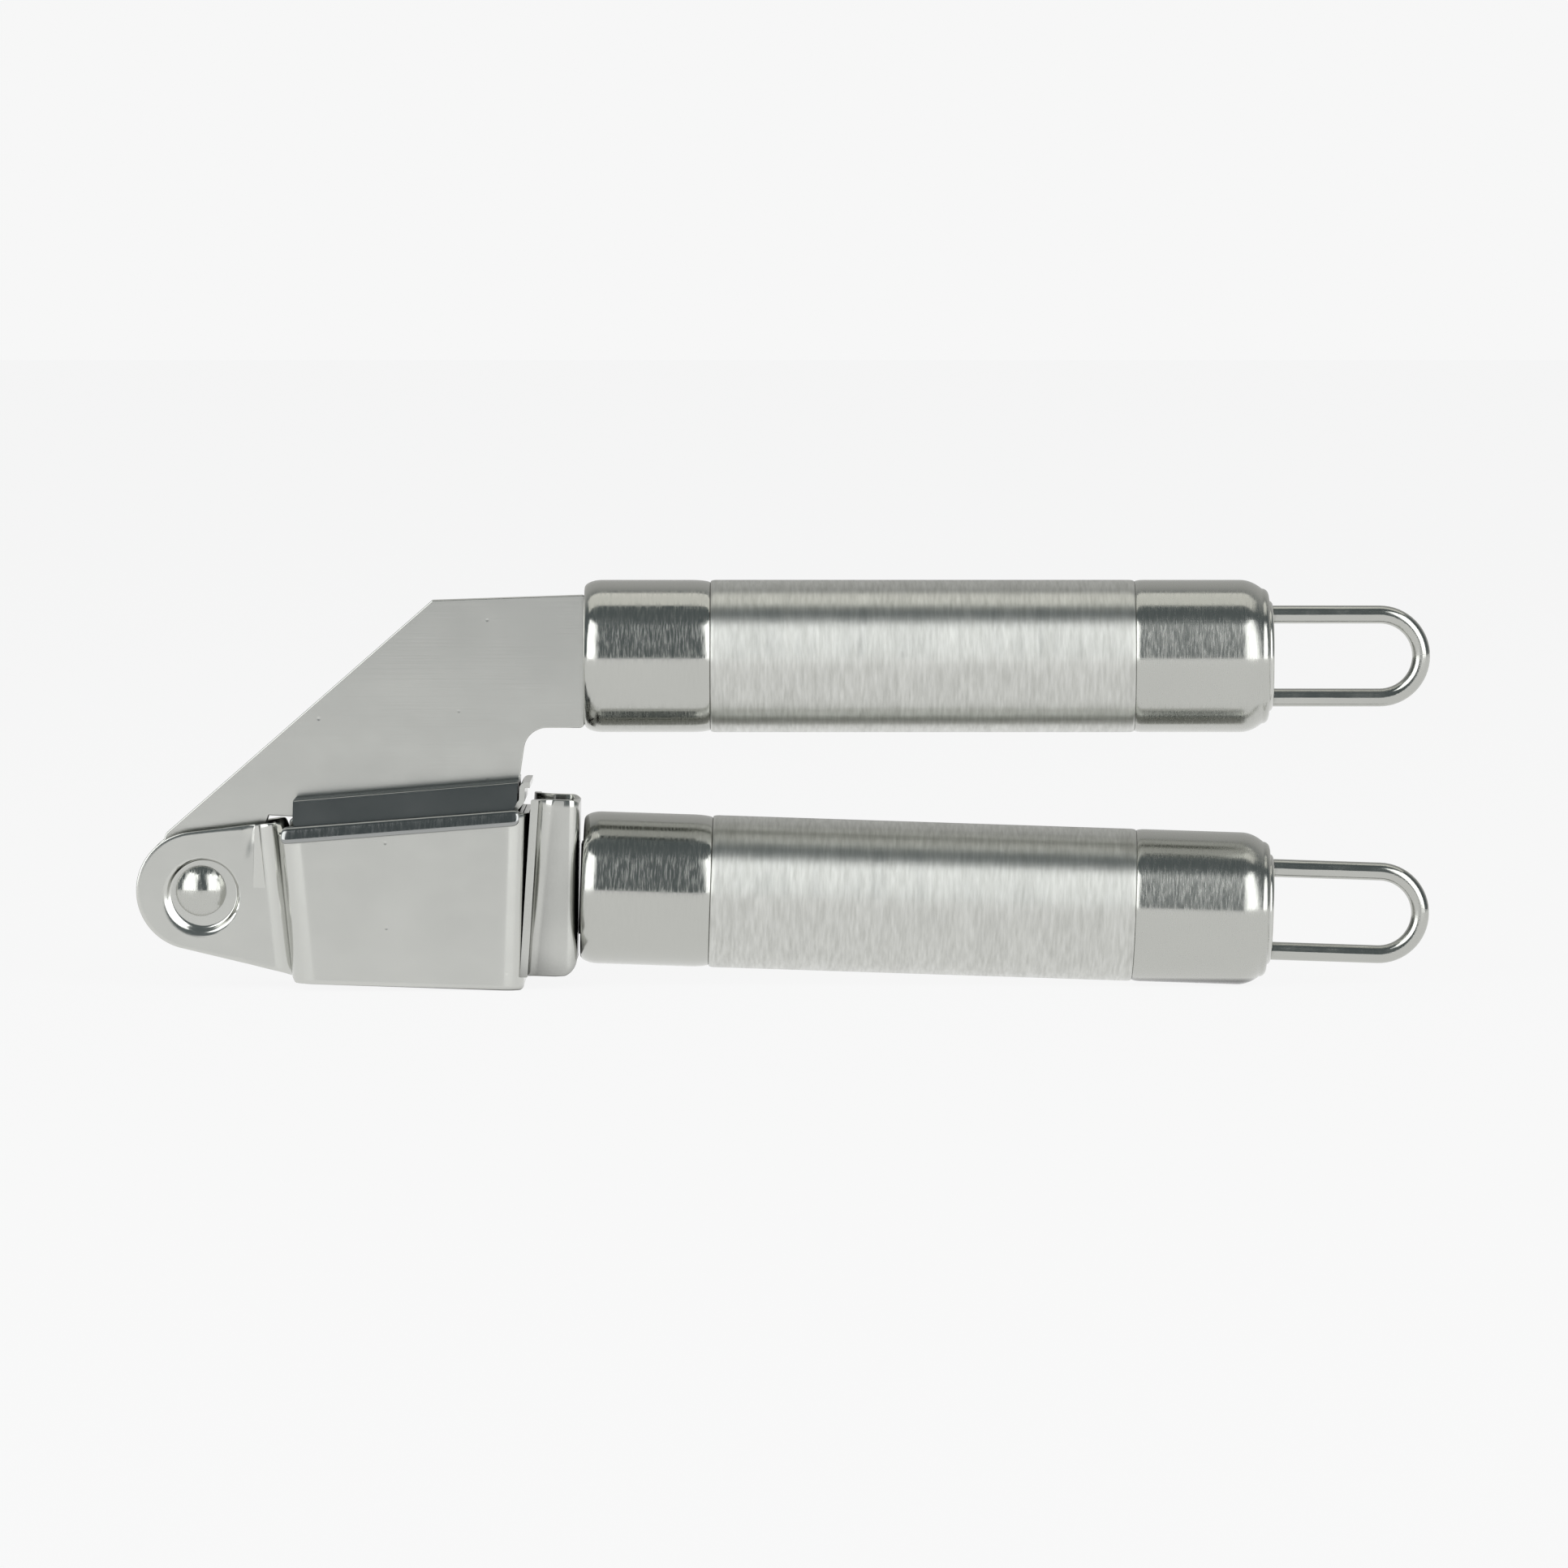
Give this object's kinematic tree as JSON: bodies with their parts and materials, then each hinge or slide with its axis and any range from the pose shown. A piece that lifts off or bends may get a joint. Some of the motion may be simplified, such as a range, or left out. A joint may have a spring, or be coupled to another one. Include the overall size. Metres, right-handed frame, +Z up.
{
  "type": "garlic press",
  "caption": "Hand press with two round handles on wire loops, a perforated basket in a bent strip frame, and a hinged arm whose hollow plunger fits the basket.",
  "frame": {"origin": "on the floor under the middle of the closed press, which stands on the basket's rear lower edge and the lower rear cap", "axes": "+X along the handles towards the hanging loops, +Y away from the side view, +Z up"},
  "size_m": [0.1866, 0.0274, 0.0585],
  "materials": {
    "satin_steel": "satin, fine straight grain",
    "polished_steel": "polished with fine scratches",
    "brushed_tube": "brushed round the tube",
    "polished_wire": "drawn wire, polished",
    "weld_metal": "dull weld"
  },
  "bodies": {
    "lower_lever": {"basket_frame": "satin_steel", "strainer_basket": "satin_steel", "neck_bracket": "satin_steel", "neck_weld": "weld_metal", "pivot_rivet": "polished_steel", "pivot_spacer_near": "satin_steel", "pivot_spacer_far": "satin_steel", "lower_front_cap": "polished_steel", "lower_handle_tube": "brushed_tube", "lower_rear_cap": "polished_steel", "lower_end_plug": "satin_steel", "lower_hanging_loop": "polished_wire"},
    "upper_lever": {"press_arm": "satin_steel", "arm_weld": "weld_metal", "plunger_near_shell": "satin_steel", "plunger_far_shell": "satin_steel", "pressing_plate": "satin_steel", "upper_front_cap": "polished_steel", "upper_handle_tube": "brushed_tube", "upper_rear_cap": "polished_steel", "upper_end_plug": "satin_steel", "upper_hanging_loop": "polished_wire"}
  },
  "joints": [
    {"name": "arm_hinge", "type": "hinge", "parent": "lower_lever", "child": "upper_lever", "pos_m": [-0.08397, 0, 0.0139], "axis": [0, -1, 0], "range_deg": [0, 140]}
  ]
}
